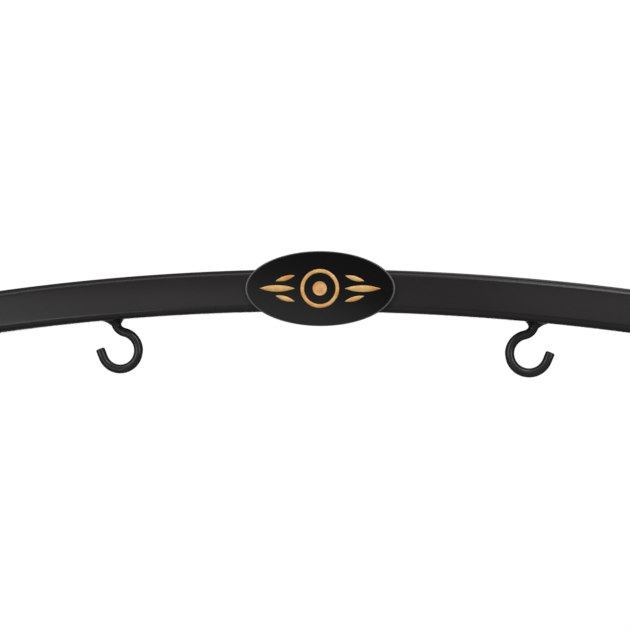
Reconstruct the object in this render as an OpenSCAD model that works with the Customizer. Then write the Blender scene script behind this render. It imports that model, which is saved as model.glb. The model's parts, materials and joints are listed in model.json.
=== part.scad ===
// Floor stand for a gong: an arched square-tube frame on two feet with swivel casters.
// Millimetres, +Z up. The origin is on the floor under the middle of the stand,
// X runs along its width and the badge faces -Y.

/* [Frame] */
// Height of the arch's top above the floor
stand_height = 1400; // [1200:10:1600]
// Distance between the centre lines of the uprights
post_spacing = 930; // [860:10:1000]
// Length of each foot, front to back
foot_length = 600; // [500:10:700]
// Outer width of the square frame tube
tube_w = 30; // [28:1:34]
// Wall of the frame tube
tube_wall = 2; // [1.5:0.1:2.5]
// Outer corner radius of the frame tube
tube_corner = 5.5; // [4:0.5:6]
// Width of the rectangular foot tube
foot_w = 40; // [38:1:50]
// Outer corner radius of the foot tube
foot_corner = 4; // [3:0.5:5]

/* [Arch] */
// Bend radius of the arch at the tube's centre line
arch_r = 1690; // [1500:10:2000]
// Bend radius of the shoulders at the tube's centre line
shoulder_r = 140; // [120:5:160]
// Straight stretch of tube under each shoulder
tail_length = 90; // [80:5:120]

/* [Hooks] */
// Distance between the centres of the two hook rings
hook_spacing = 293; // [240:1:340]
// Radius of a hook's ring at the rod's centre line
hook_r = 13.5; // [12:0.5:16]
// Radius of the reverse bend between the ring and the weld
hook_neck_r = 9; // [8:0.5:12]
// Diameter of the hook rod, coating included
hook_rod_d = 6.5; // [6:0.25:7.5]
// Angle above the horizontal at which the ring meets the reverse bend
hook_neck_angle = 77; // [70:1:80]
// Angle below the horizontal at which the straight tip starts
hook_tip_angle = 22; // [10:1:25]
// Length of the straight tip
hook_tip_l = 6.6; // [3:0.1:8]
// Radius of the concave weld fillet
weld_r = 3.8; // [3:0.1:5]
// Thickness of the weld at its outer edge
weld_toe = 0.3; // [0.2:0.1:0.5]

/* [Badge] */
// Width of the oval badge
badge_w = 105; // [80:1:120]
// Height of the oval badge
badge_h = 52.5; // [40:0.5:60]
// Thickness of the badge plate
badge_t = 2.5; // [2:0.1:4]
// Width of the bevel round the badge
badge_bevel = 0.8; // [0.5:0.1:1.2]
// Thickness of the adhesive pad behind the badge
badge_pad_t = 1; // [0.5:0.1:2]
// Height of the badge's centre above the tube's centre
badge_up = 0.9; // [-2:0.1:4]
// How deep the ornament is let into the badge
ornament_depth = 0.6; // [0.4:0.1:1]
// How far the ornament stands out of the badge
ornament_proud = 0.2; // [0.1:0.1:0.5]

/* [Joints of the frame] */
// Clearance on each side between a tube and what slides into it
slide_gap = 0.2; // [0.1:0.05:0.4]
// Length of each spigot that carries the arch
spigot_l = 130; // [120:5:160]
// Height of each socket above its foot tube
socket_h = 120; // [100:5:160]
// Wall of the socket
socket_wall = 2.5; // [2:0.5:3]
// Distance of each socket bolt from the socket's end
socket_bolt_in = 28; // [24:1:36]
// Length of a gusset along the foot
gusset_l = 95; // [70:5:120]
// Height of a gusset
gusset_h = 80; // [60:5:100]
// Thickness of a gusset
gusset_t = 4; // [3:0.5:6]
// Height of the crossbar's centre above the foot tubes
crossbar_up = 228; // [180:1:320]
// Thickness of the crossbar's flange plates
flange_t = 5; // [4:0.5:8]
// Height of a flange plate
flange_h = 92; // [86:2:110]
// Distance of each flange bolt from the crossbar's centre line
flange_bolt_up = 32; // [30:1:40]
// Thread diameter of the frame bolts
bolt_d = 8; // [6:1:8]
// Clearance round a bolt in its hole
bolt_gap = 0.3; // [0.1:0.1:0.5]
// Distance of each arch bolt from the end of its tube
arch_bolt_in = 35; // [30:1:45]
// Wall of the end caps
cap_t = 3; // [2:0.5:5]

/* [Casters] */
// Height of the foot tubes above the floor
caster_h = 72; // [70:1:80]
// Distance of each swivel axis from the end of its foot
caster_in = 35; // [30:1:50]
// Wheel diameter
wheel_d = 50; // [46:1:52]
// Width of the tyre
tyre_w = 20; // [16:1:22]
// Thickness of the tyre
tyre_t = 5; // [4:0.5:7]
// Horizontal offset of the wheel's axle behind the swivel axis
trail = 20; // [16:1:24]
// Thickness of the fork's pressed plate
fork_t = 2.5; // [2:0.5:3]
// Clearance on each side of the wheel
wheel_gap = 1.5; // [1:0.1:2]
// Thread diameter of the caster's stem
stem_d = 10; // [8:1:12]
// Diameter of the kingpin
kingpin_d = 8; // [6:1:10]
// Diameter of the balls of the swivel bearing
ball_d = 4; // [3:0.5:4]
// Number of balls in each swivel bearing
ball_count = 12; // [8:1:13]
// Diameter of the axle bolt
axle_d = 6; // [5:1:8]
// Radial running clearance of the axle, kingpin and brake pin
run_gap = 0.05; // [0.03:0.01:0.08]
// Clearance between parts that turn past each other
turn_gap = 0.3; // [0.2:0.05:0.5]
// Diameter of the brake pin
brake_pin_d = 4; // [3:0.5:5]
// Width of the brake pedal
pedal_w = 19; // [15:1:21]
// Length of the brake pedal from its pin
pedal_l = 27; // [22:1:32]
// Thickness of the pedal's plate
pedal_t = 3; // [2:0.5:4]
// Angle at which the released pedal rises
pedal_rise = 14; // [8:1:16]
// Gap between the released brake shoe and the tyre
brake_open = 2.5; // [1.5:0.5:3]

/* [Hidden] */
CASTERS = [
  ["front_left", -1, -1],
  ["front_right", 1, -1],
  ["rear_left", -1, 1],
  ["rear_right", 1, 1]
];
FRAME_NODES = [
  "top_arch", "left_shoulder", "right_shoulder", "left_hook", "right_hook",
  "badge_plate", "badge_ornament", "badge_pad", "left_upright", "right_upright",
  "left_spigot", "right_spigot", "arch_bolts", "arch_nuts",
  "left_foot_tube", "right_foot_tube", "left_socket", "right_socket",
  "left_gussets", "right_gussets", "foot_end_caps", "foot_bolts", "foot_nuts",
  "crossbar_tube", "crossbar_flanges", "crossbar_bolts", "crossbar_nuts",
  "frame_washers", "stem_nuts", "bearing_balls"
];
CASTER_PARTS = ["stem", "fork", "axle", "hub", "tyre"];
BRAKE_PARTS = ["pedal", "pin"];

// Colours
coat = [0.13, 0.13, 0.135];
badge_black = [0.05, 0.05, 0.05];
gold = [0.82, 0.62, 0.3];
zinc = [0.72, 0.73, 0.75];
plastic = [0.1, 0.1, 0.1];
grey = [0.45, 0.45, 0.46];

// Places in the frame
half = post_spacing / 2;
apex_z = stand_height - tube_w / 2;
arch_cz = apex_z - arch_r;
sweep = asin((half - shoulder_r) / (arch_r - shoulder_r));
shoulder_z = arch_cz + (arch_r - shoulder_r) * cos(sweep);
joint_z = shoulder_z - tail_length;
foot_top = caster_h + tube_w;
crossbar_z = foot_top + crossbar_up;
foot_half = foot_length / 2;
inner_w = tube_w - 2 * tube_wall;
inner_corner = max(0.5, tube_corner - tube_wall);
foot_inner_corner = max(0.5, foot_corner - tube_wall);

// Hooks
hook_x = hook_spacing / 2;
hook_reach = hook_r + hook_neck_r;
stem_out = hook_neck_r - hook_reach * cos(hook_neck_angle);
under_r = arch_r - tube_w / 2;
weld_x = hook_x + stem_out;
weld_z = arch_cz + sqrt(pow(under_r, 2) - pow(weld_x, 2));
hook_z = weld_z - hook_reach * sin(hook_neck_angle);
weld_lean = asin(weld_x / under_r);
weld_sink = 0.25;
rod_seam = 0.02;
hook_ring_start = 180 - hook_neck_angle;
hook_ring_sweep = 360 - hook_tip_angle - hook_ring_start;

// Badge
badge_y = -tube_w / 2 - badge_pad_t;
badge_cz = apex_z + badge_up;
pad_inset = 3;
oval_points = 96;

// Ornament, in shares of the badge's size: a ring round a disc, with three leaves on each side
ornament_gap = 0.02;
ring_r = badge_h * 0.26;
ring_hole_r = ring_r * 0.8;
disc_r = ring_r * 0.36;
main_leaf_l = badge_w * 0.24;
main_leaf_w = badge_h * 0.085;
main_leaf_x = badge_w * 0.285;
side_leaf_l = badge_w * 0.135;
side_leaf_w = badge_h * 0.06;
side_leaf_x = badge_w * 0.232;
side_leaf_y = badge_h * 0.135;
side_leaf_tilt = 16;

// Fasteners, in thread diameters
head_w = 1.75;
head_h = 0.55;
key_w = 0.625;
nut_w = 1.625;
nut_h = 0.8;
washer_w = 2;
washer_h = 0.2;
washer_t = bolt_d * washer_h;
nut_stack = bolt_d * (2 * washer_h + nut_h);
hole_r = bolt_d / 2 + bolt_gap;
nut_ease = 0.3;
thread_spare = 1.5;
arch_bolt_zs = [joint_z - arch_bolt_in, joint_z + arch_bolt_in];
socket_w = tube_w + 2 * (slide_gap + socket_wall);
foot_bolt_zs = [foot_top + socket_bolt_in, foot_top + socket_h - socket_bolt_in];
flange_bolt_zs = [crossbar_z - flange_bolt_up, crossbar_z + flange_bolt_up];
crossbar_half = half - tube_w / 2 - flange_t;

// Casters
swivel_y = foot_half - caster_in;
wheel_r = wheel_d / 2;
collar_h = 4;
race_h = 4;
race_r = 19;
cup_r = 15;
cup_h = 5;
cup_flare = 1;
leg_inset = 3;
ear_angle = 10;
crown_t = 3;
rivet_h = 3;
rivet_r = kingpin_d * 0.75;
collar_z = caster_h - collar_h;
race_z = collar_z - race_h;
cup_top = race_z - turn_gap;
crown_z = cup_top - cup_h - crown_t;
ball_z = race_z - turn_gap / 2;
ball_ring_r = (cup_r + kingpin_d / 2) / 2;
fork_in = tyre_w / 2 + wheel_gap;
fork_out = fork_in + fork_t;
axle_eye_r = axle_d / 2 + 6;
hub_r = wheel_r - tyre_t;
rim_t = 2.5;
rim_in = 1;
web_t = 5;
spoke_t = 1.8;
spoke_count = 6;
boss_r = axle_d / 2 + 3.5;
hub_seat = 0.05;
tyre_round = 4;
axle_head_h = axle_d * 0.65;

// Brake: the pin lies above the tyre, behind the axle, and the shoe swings down onto the tyre.
// brake_lean is the angle at the axle between straight up and the pin.
brake_lean = 19.3;
pedal_boss_r = brake_pin_d / 2 + 2.2;
pin_eye_r = brake_pin_d / 2 + 3;
pin_head_r = brake_pin_d * 0.8;
pin_head_h = 1.5;
grip_r = 0.8;
grip_pitch = 3.5;
grip_count = 4;
shoe_r = 2.6;
shoe_arm = 11;
brake_reach = wheel_r + pedal_boss_r + 1;
brake_y = trail + brake_reach * sin(brake_lean);
brake_z = wheel_r + brake_reach * cos(brake_lean);

// Angle at the pin between the axle and the shoe when the shoe clears the tyre by the gap
function shoe_angle(gap) =
  let (far = wheel_r + gap + shoe_r)
  acos((pow(brake_reach, 2) + pow(shoe_arm, 2) - pow(far, 2)) / (2 * brake_reach * shoe_arm));
shoe_rest = shoe_angle(brake_open) - 90 - brake_lean;

$fn = 64;

// Shapes that repeat

module box_outline(w, h, r) {
  square([w - 2 * r, h], center = true);
  square([w, h - 2 * r], center = true);
  for (x = [-1, 1]) for (y = [-1, 1]) translate([x * (w / 2 - r), y * (h / 2 - r)]) circle(r, $fn = 48);
}

module square_outline(w, r) {
  box_outline(w, w, r);
}

module tube_outline() {
  difference() {
    square_outline(tube_w, tube_corner);
    square_outline(inner_w, inner_corner);
  }
}

module square_tube(l) {
  linear_extrude(l) tube_outline();
}

// A cylinder whose axis runs from a point along Y, towards the back
module along_y(x, y, z, r, l) {
  translate([x, y, z]) rotate([-90, 0, 0]) cylinder(r = r, h = l);
}

// A cylinder whose axis runs from a point along +X
module along_x(x, y, z, r, l) {
  translate([x, y, z]) rotate([0, 90, 0]) cylinder(r = r, h = l);
}

// Hexagonal prism, sized across its flats
module hex(flats, h) {
  cylinder(d = flats / cos(30), h = h, $fn = 6);
}

// Button-head bolt: head on +Z above the origin, shank down from the origin
module button_bolt(d, l) {
  rim_r = d * head_w / 2;
  top = d * head_h;
  dome_r = (pow(rim_r, 2) + pow(top, 2)) / (2 * top);
  difference() {
    rotate_extrude() intersection() {
      translate([0, top - dome_r]) circle(dome_r);
      square([rim_r, top]);
    }
    translate([0, 0, top / 3]) hex(d * key_w, top);
  }
  translate([0, 0, -l]) cylinder(d = d, h = l);
}

// Dome nut: seat on the origin, dome towards +Z. The blind thread is deeper than the bolt's end.
module dome_nut(d) {
  flats = d * nut_w;
  hex_top = d * nut_h;
  seat_r = flats / 2 + nut_ease;
  dome_r = flats / 2 - nut_ease;
  difference() {
    union() {
      intersection() {
        hex(flats, hex_top);
        cylinder(r1 = seat_r, r2 = seat_r + hex_top, h = hex_top);
      }
      translate([0, 0, hex_top]) intersection() {
        sphere(dome_r);
        cylinder(r = flats, h = flats);
      }
    }
    translate([0, 0, -1]) cylinder(d = d + 2 * run_gap, h = 1 + hex_top + thread_spare + turn_gap);
  }
}

module washer(d) {
  thick = d * washer_h;
  difference() {
    cylinder(d = d * washer_w, h = thick);
    translate([0, 0, -1]) cylinder(d = d + 2 * bolt_gap, h = thick + 2);
  }
}

// Places for the fasteners of the frame: children sit with +Z pointing away from the tube

module at_arch_heads() {
  for (s = [-1, 1]) for (z = arch_bolt_zs)
    translate([s * half, -tube_w / 2, z]) rotate([90, 0, 0]) children();
}

module at_arch_tails() {
  for (s = [-1, 1]) for (z = arch_bolt_zs)
    translate([s * half, tube_w / 2, z]) rotate([-90, 0, 0]) children();
}

module at_foot_heads() {
  for (s = [-1, 1]) for (z = foot_bolt_zs)
    translate([s * (half + socket_w / 2), 0, z]) rotate([0, s * 90, 0]) children();
}

module at_foot_tails() {
  for (s = [-1, 1]) for (z = foot_bolt_zs)
    translate([s * (half - socket_w / 2), 0, z]) rotate([0, -s * 90, 0]) children();
}

module at_flange_heads() {
  for (s = [-1, 1]) for (z = flange_bolt_zs)
    translate([s * (half + tube_w / 2), 0, z]) rotate([0, s * 90, 0]) children();
}

module at_flange_tails() {
  for (s = [-1, 1]) for (z = flange_bolt_zs)
    translate([s * crossbar_half, 0, z]) rotate([0, -s * 90, 0]) children();
}

module at_stem_tops() {
  for (c = CASTERS) translate([c[1] * half, c[2] * swivel_y, foot_top]) children();
}

// Arch

module bolt_holes(x, zs) {
  for (z = zs) along_y(x, -tube_w, z, hole_r, 2 * tube_w);
}

module top_arch() {
  color(coat) translate([0, 0, arch_cz]) rotate([90, 0, 0]) rotate([0, 0, 90 - sweep])
    rotate_extrude(angle = 2 * sweep, $fn = 1440) translate([arch_r, 0]) tube_outline();
}

// Bend and tail of one side, welded to the end of the arch
module shoulder(s) {
  color(coat) difference() {
    mirror([s < 0 ? 1 : 0, 0, 0]) translate([half, 0, shoulder_z]) {
      translate([-shoulder_r, 0, 0]) rotate([90, 0, 0])
        rotate_extrude(angle = 90 - sweep, $fn = 240) translate([shoulder_r, 0]) tube_outline();
      translate([0, 0, -tail_length]) square_tube(tail_length);
    }
    bolt_holes(s * half, [arch_bolt_zs[1]]);
  }
}

// The hook that stands on the +X side: open towards +X, rod in the XZ plane. A ball a hair thicker
// than the rod joins each pair of bends.
module hook() {
  rod_r = hook_rod_d / 2;
  ball_r = rod_r + rod_seam;
  neck_at = [-hook_reach * cos(hook_neck_angle), 0, hook_reach * sin(hook_neck_angle)];
  ring_end = [-hook_r * cos(hook_neck_angle), 0, hook_r * sin(hook_neck_angle)];
  tip_at = [hook_r * cos(hook_tip_angle), 0, -hook_r * sin(hook_tip_angle)];
  stem_at = neck_at + [hook_neck_r, 0, 0];
  intersection() {
    translate([hook_x, 0, hook_z]) {
      rotate([90, 0, 0]) rotate([0, 0, hook_ring_start])
        rotate_extrude(angle = hook_ring_sweep, $fn = 96) translate([hook_r, 0]) circle(rod_r);
      translate(tip_at) sphere(ball_r);
      translate(tip_at) rotate([0, hook_tip_angle, 0]) hook_tip(rod_r);
      translate(ring_end) sphere(ball_r);
      translate(neck_at) rotate([90, 0, 0]) rotate([0, 0, -hook_neck_angle])
        rotate_extrude(angle = hook_neck_angle, $fn = 96) translate([hook_neck_r, 0]) circle(rod_r);
      translate(stem_at) sphere(ball_r);
      translate(stem_at) rotate([0, weld_lean, 0]) weld_fillet(rod_r);
    }
    translate([0, tube_w, arch_cz]) rotate([90, 0, 0]) cylinder(r = under_r, h = 2 * tube_w, $fn = 2880);
  }
}

module hook_tip(rod_r) {
  round_r = rod_r * 0.3;
  rotate_extrude() {
    square([rod_r, hook_tip_l - round_r]);
    square([rod_r - round_r, hook_tip_l]);
    translate([rod_r - round_r, hook_tip_l - round_r]) intersection() {
      circle(round_r);
      square(round_r);
    }
  }
}

// Concave fillet between the rod and the underside of the arch
module weld_fillet(rod_r) {
  foot_r = rod_r + weld_r - weld_sink;
  weld_h = weld_r + weld_toe;
  rotate_extrude() difference() {
    translate([0, -weld_h]) square([foot_r, weld_h + 1]);
    translate([foot_r, -weld_h]) circle(weld_r);
  }
}

module right_hook() {
  color(coat) hook();
}

module left_hook() {
  color(coat) mirror([1, 0, 0]) hook();
}

// Badge: an oval plate with a bevel, an ornament let into it and a pad behind it

module badge_frame(y) {
  translate([0, y, badge_cz]) rotate([90, 0, 0]) children();
}

module oval_outline(w, h) {
  step = 360 / oval_points;
  polygon([for (i = [1:oval_points]) [w / 2 * cos(i * step), h / 2 * sin(i * step)]]);
}

// A leaf with two sharp ends: where two circles overlap
module leaf(l, w) {
  r = (pow(l / 2, 2) + pow(w / 2, 2)) / w;
  intersection() {
    translate([0, r - w / 2]) circle(r, $fn = 360);
    translate([0, w / 2 - r]) circle(r, $fn = 360);
  }
}

module ornament_outline(grow = 0) {
  difference() {
    circle(ring_r + grow);
    circle(ring_hole_r - grow);
  }
  circle(disc_r + grow);
  for (s = [-1, 1]) {
    translate([s * main_leaf_x, 0]) leaf(main_leaf_l + 2 * grow, main_leaf_w + 2 * grow);
    for (t = [-1, 1])
      translate([s * side_leaf_x, t * side_leaf_y]) rotate(-s * t * side_leaf_tilt)
        leaf(side_leaf_l + 2 * grow, side_leaf_w + 2 * grow);
  }
}

module badge_plate() {
  color(badge_black) badge_frame(badge_y) difference() {
    hull() {
      linear_extrude(badge_t - badge_bevel) oval_outline(badge_w, badge_h);
      linear_extrude(badge_t) oval_outline(badge_w - 2 * badge_bevel, badge_h - 2 * badge_bevel);
    }
    translate([0, 0, badge_t - ornament_depth]) linear_extrude(badge_t) ornament_outline(ornament_gap);
  }
}

module badge_ornament() {
  color(gold) badge_frame(badge_y) translate([0, 0, badge_t - ornament_depth])
    linear_extrude(ornament_depth + ornament_proud) ornament_outline();
}

// Only as tall as the flat front of the tube that it sticks to
module badge_pad() {
  pad_w = badge_w - 2 * pad_inset;
  pad_h = badge_h - 2 * pad_inset;
  color(plastic) badge_frame(-tube_w / 2) linear_extrude(badge_pad_t) intersection() {
    oval_outline(pad_w, pad_h);
    translate([0, -badge_up]) square([pad_w, tube_w - 2 * tube_corner], center = true);
  }
}

// Uprights and spigots

module upright(s) {
  color(coat) difference() {
    translate([s * half, 0, foot_top]) square_tube(joint_z - foot_top);
    bolt_holes(s * half, [arch_bolt_zs[0]]);
    for (z = concat(foot_bolt_zs, flange_bolt_zs)) along_x(s * half - tube_w, 0, z, hole_r, 2 * tube_w);
  }
}

module spigot(s) {
  w = inner_w - 2 * slide_gap;
  color(zinc) difference() {
    translate([s * half, 0, joint_z - spigot_l / 2]) linear_extrude(spigot_l) difference() {
      square_outline(w, inner_corner);
      square_outline(w - 2 * tube_wall, inner_corner / 2);
    }
    bolt_holes(s * half, arch_bolt_zs);
  }
}

// Feet

module foot_tube(s) {
  color(coat) difference() {
    translate([s * half, foot_half, caster_h + tube_w / 2]) rotate([90, 0, 0]) linear_extrude(foot_length)
      difference() {
        box_outline(foot_w, tube_w, foot_corner);
        box_outline(foot_w - 2 * tube_wall, inner_w, foot_inner_corner);
      }
    for (t = [-1, 1]) translate([s * half, t * swivel_y, caster_h - 1])
      cylinder(r = stem_d / 2 + bolt_gap, h = tube_w + 2);
  }
}

module socket(s) {
  color(coat) difference() {
    translate([s * half, 0, foot_top]) linear_extrude(socket_h) difference() {
      square_outline(socket_w, tube_corner + socket_wall);
      square_outline(tube_w + 2 * slide_gap, tube_corner);
    }
    for (z = foot_bolt_zs) along_x(s * half - socket_w, 0, z, hole_r, 2 * socket_w);
  }
}

// Two triangular plates that brace the socket, front and back
module gussets(s) {
  nose = 12;
  hole_y = gusset_l * 0.3;
  hole_z = gusset_h * 0.32;
  hole = gusset_h * 0.16;
  color(coat) for (t = [0, 1]) mirror([0, t, 0])
    translate([s * half - gusset_t / 2, socket_w / 2, foot_top]) rotate([90, 0, 90]) linear_extrude(gusset_t)
      difference() {
        polygon([[0, 0], [gusset_l, 0], [gusset_l, nose], [nose, gusset_h], [0, gusset_h]]);
        translate([hole_y, hole_z]) circle(hole);
      }
}

// Ribbed plugs in both ends of both foot tubes
module foot_end_caps() {
  plug_w = foot_w - 2 * tube_wall - 2 * slide_gap;
  plug_h = inner_w - 2 * slide_gap;
  plug_l = 14;
  plug_wall = 1.8;
  rib_t = 1.5;
  color(plastic) for (s = [-1, 1]) for (t = [0, 1]) mirror([0, t, 0])
    translate([s * half, foot_half, caster_h + tube_w / 2]) rotate([-90, 0, 0]) {
      cap_plate();
      translate([0, 0, -plug_l]) linear_extrude(plug_l) difference() {
        box_outline(plug_w, plug_h, foot_inner_corner);
        difference() {
          square([plug_w - 2 * plug_wall, plug_h - 2 * plug_wall], center = true);
          for (x = [-1, 1]) translate([x * plug_w / 6, 0]) square([rib_t, plug_h], center = true);
          square([plug_w, rib_t], center = true);
        }
      }
    }
}

module cap_plate() {
  edge = cap_t / 3;
  linear_extrude(cap_t - edge) box_outline(foot_w, tube_w, foot_corner);
  translate([0, 0, cap_t - edge]) linear_extrude(edge)
    box_outline(foot_w - 2 * edge, tube_w - 2 * edge, foot_corner - edge / 2);
}

// Crossbar

module crossbar_tube() {
  color(coat) translate([-crossbar_half, 0, crossbar_z]) rotate([0, 90, 0]) square_tube(2 * crossbar_half);
}

module crossbar_flanges() {
  color(coat) for (s = [0, 1]) mirror([s, 0, 0]) difference() {
    translate([crossbar_half, 0, crossbar_z]) rotate([90, 0, 90]) linear_extrude(flange_t) {
      square([tube_w, flange_h - tube_w], center = true);
      for (t = [-1, 1]) translate([0, t * (flange_h - tube_w) / 2]) circle(d = tube_w);
    }
    for (z = flange_bolt_zs) along_x(crossbar_half - 1, 0, z, hole_r, flange_t + 2);
  }
}

// Fasteners of the frame

module arch_bolts() {
  l = tube_w + nut_stack + thread_spare;
  color(zinc) at_arch_heads() translate([0, 0, washer_t]) button_bolt(bolt_d, l);
}

module arch_nuts() {
  color(zinc) at_arch_tails() translate([0, 0, washer_t]) dome_nut(bolt_d);
}

module foot_bolts() {
  l = socket_w + nut_stack + thread_spare;
  color(zinc) at_foot_heads() translate([0, 0, washer_t]) button_bolt(bolt_d, l);
}

module foot_nuts() {
  color(zinc) at_foot_tails() translate([0, 0, washer_t]) dome_nut(bolt_d);
}

module crossbar_bolts() {
  l = tube_w + flange_t + nut_stack + thread_spare;
  color(zinc) at_flange_heads() translate([0, 0, washer_t]) button_bolt(bolt_d, l);
}

module crossbar_nuts() {
  color(zinc) at_flange_tails() translate([0, 0, washer_t]) dome_nut(bolt_d);
}

module frame_washers() {
  color(zinc) {
    at_arch_heads() washer(bolt_d);
    at_arch_tails() washer(bolt_d);
    at_foot_heads() washer(bolt_d);
    at_foot_tails() washer(bolt_d);
    at_flange_heads() washer(bolt_d);
    at_flange_tails() washer(bolt_d);
  }
}

module stem_nuts() {
  color(zinc) at_stem_tops() {
    washer(stem_d);
    translate([0, 0, stem_d * washer_h]) dome_nut(stem_d);
  }
}

// Casters: each is drawn about its own swivel axis with the wheel trailing towards +Y,
// then turned so that it trails outwards from the stand

module caster_place(c) {
  translate([c[1] * half, c[2] * swivel_y, 0]) rotate([0, 0, c[2] > 0 ? 0 : 180]) children();
}

module caster_stem(c) {
  stem_l = tube_w + stem_d * (washer_h + nut_h);
  rivet_z = crown_z - turn_gap - rivet_h;
  color(zinc) caster_place(c) {
    translate([0, 0, caster_h]) cylinder(d = stem_d, h = stem_l);
    translate([0, 0, collar_z]) hex(stem_d * nut_w, collar_h);
    difference() {
      translate([0, 0, race_z]) cylinder(r1 = race_r, r2 = race_r - race_h / 2, h = race_h);
      ball_groove();
    }
    translate([0, 0, rivet_z]) cylinder(d = kingpin_d, h = race_z - rivet_z);
    translate([0, 0, rivet_z]) cylinder(r = rivet_r, h = rivet_h);
  }
}

// The groove in which the balls run, half in the upper race and half in the fork's cup
module ball_groove() {
  translate([0, 0, ball_z]) rotate_extrude() translate([ball_ring_r, 0]) circle(ball_d / 2 + run_gap);
}

module bearing_balls() {
  color(zinc) for (c = CASTERS) caster_place(c) for (i = [1:ball_count])
    rotate([0, 0, i * 360 / ball_count]) translate([ball_ring_r, 0, ball_z]) sphere(ball_d / 2);
}

// Where a line from a point touches a circle, on one side or the other
function touch(p, centre, r, side) =
  let (v = p - centre, a = atan2(v[1], v[0]) + side * acos(r / norm(v)))
  centre + r * [cos(a), sin(a)];

// Outline of a fork leg in the plane of the wheel: from the crown to the axle, with an ear for the brake pin
module leg_outline() {
  axle_at = [trail, wheel_r];
  pin_at = [brake_y, brake_z];
  top_z = crown_z + crown_t;
  top_half = cup_r - leg_inset;
  front = [-top_half, top_z];
  translate(axle_at) circle(axle_eye_r);
  translate(pin_at) circle(pin_eye_r);
  polygon([
    touch(front, axle_at, axle_eye_r, 1),
    axle_at,
    axle_at + [axle_eye_r, 0],
    pin_at + pin_eye_r * [cos(ear_angle), -sin(ear_angle)],
    pin_at,
    pin_at + [0, pin_eye_r],
    [top_half, top_z],
    front
  ]);
}

module caster_fork(c) {
  color(zinc) caster_place(c) difference() {
    union() {
      translate([0, 0, crown_z]) cylinder(r = race_r, h = crown_t);
      translate([0, 0, crown_z + crown_t]) cylinder(r1 = cup_r + cup_flare, r2 = cup_r, h = cup_h);
      for (m = [0, 1]) mirror([m, 0, 0])
        translate([fork_in, 0, 0]) rotate([90, 0, 90]) linear_extrude(fork_t) leg_outline();
    }
    ball_groove();
    translate([0, 0, crown_z - 1]) cylinder(r = kingpin_d / 2 + run_gap, h = crown_t + cup_h + 2);
    along_x(-wheel_d, trail, wheel_r, axle_d / 2 + run_gap, 2 * wheel_d);
    along_x(-wheel_d, brake_y, brake_z, brake_pin_d / 2 + run_gap, 2 * wheel_d);
  }
}

// Hexagon bolt and nut, in one with each other, that clamp the fork's legs
module caster_axle(c) {
  color(zinc) wheel_place(c) {
    translate([0, 0, -fork_out]) cylinder(d = axle_d, h = 2 * fork_out);
    for (m = [0, 1]) mirror([0, 0, m]) translate([0, 0, fork_out]) hex(axle_d * nut_w, axle_head_h);
    translate([0, 0, fork_out + axle_head_h]) cylinder(d = axle_d, h = thread_spare);
  }
}

module wheel_place(c) {
  caster_place(c) translate([0, trail, wheel_r]) rotate([0, 90, 0]) children();
}

module caster_hub(c) {
  boss_w = 2 * (fork_in - turn_gap);
  rim_w = tyre_w - 2 * rim_in;
  spoke_w = rim_w - 2 * rim_in;
  spoke_in = boss_r - 1;
  spoke_out = hub_r - rim_t + 1;
  color(grey) wheel_place(c) difference() {
    union() {
      rotate_extrude() {
        translate([0, -boss_w / 2]) square([boss_r, boss_w]);
        translate([0, -web_t / 2]) square([hub_r, web_t]);
        translate([hub_r - rim_t, -rim_w / 2]) square([rim_t, rim_w]);
      }
      for (i = [1:spoke_count]) rotate([0, 0, i * 360 / spoke_count])
        translate([spoke_in, -spoke_t / 2, -spoke_w / 2]) cube([spoke_out - spoke_in, spoke_t, spoke_w]);
    }
    translate([0, 0, -boss_w]) cylinder(r = axle_d / 2 + run_gap, h = 2 * boss_w);
  }
}

module caster_tyre(c) {
  inner = hub_r + hub_seat;
  color(plastic) wheel_place(c) rotate_extrude() intersection() {
    translate([inner, -tyre_w / 2]) square([tyre_t, tyre_w]);
    union() {
      translate([0, -tyre_w / 2]) square([wheel_r - tyre_round, tyre_w]);
      translate([0, tyre_round - tyre_w / 2]) square([wheel_r, tyre_w - 2 * tyre_round]);
      for (s = [-1, 1]) translate([wheel_r - tyre_round, s * (tyre_w / 2 - tyre_round)]) circle(tyre_round);
    }
  }
}

// Brake

module brake_pin(c) {
  color(zinc) caster_place(c) translate([0, brake_y, brake_z]) rotate([0, 90, 0]) {
    translate([0, 0, -fork_out]) cylinder(d = brake_pin_d, h = 2 * fork_out);
    for (m = [0, 1]) mirror([0, 0, m]) translate([0, 0, fork_out]) cylinder(r = pin_head_r, h = pin_head_h);
  }
}

module pedal_outline() {
  difference() {
    union() {
      circle(pedal_boss_r);
      rotate(pedal_rise) {
        translate([0, -pedal_t / 2]) square([pedal_l, pedal_t]);
        translate([pedal_l, 0]) circle(pedal_t / 2);
        for (i = [0:grip_count - 1]) translate([pedal_l - i * grip_pitch, pedal_t / 2]) circle(grip_r);
      }
      intersection() {
        rotate(shoe_rest) {
          translate([shoe_arm, 0]) circle(shoe_r);
          translate([shoe_arm - shoe_r, 0]) square([2 * shoe_r, shoe_arm]);
        }
        rotate(pedal_rise) translate([0, -shoe_arm]) square([pedal_l, shoe_arm]);
      }
    }
    circle(brake_pin_d / 2 + run_gap);
  }
}

module brake_pedal(c) {
  color(plastic) caster_place(c) translate([-pedal_w / 2, brake_y, brake_z])
    rotate([90, 0, 90]) linear_extrude(pedal_w) pedal_outline();
}

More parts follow.
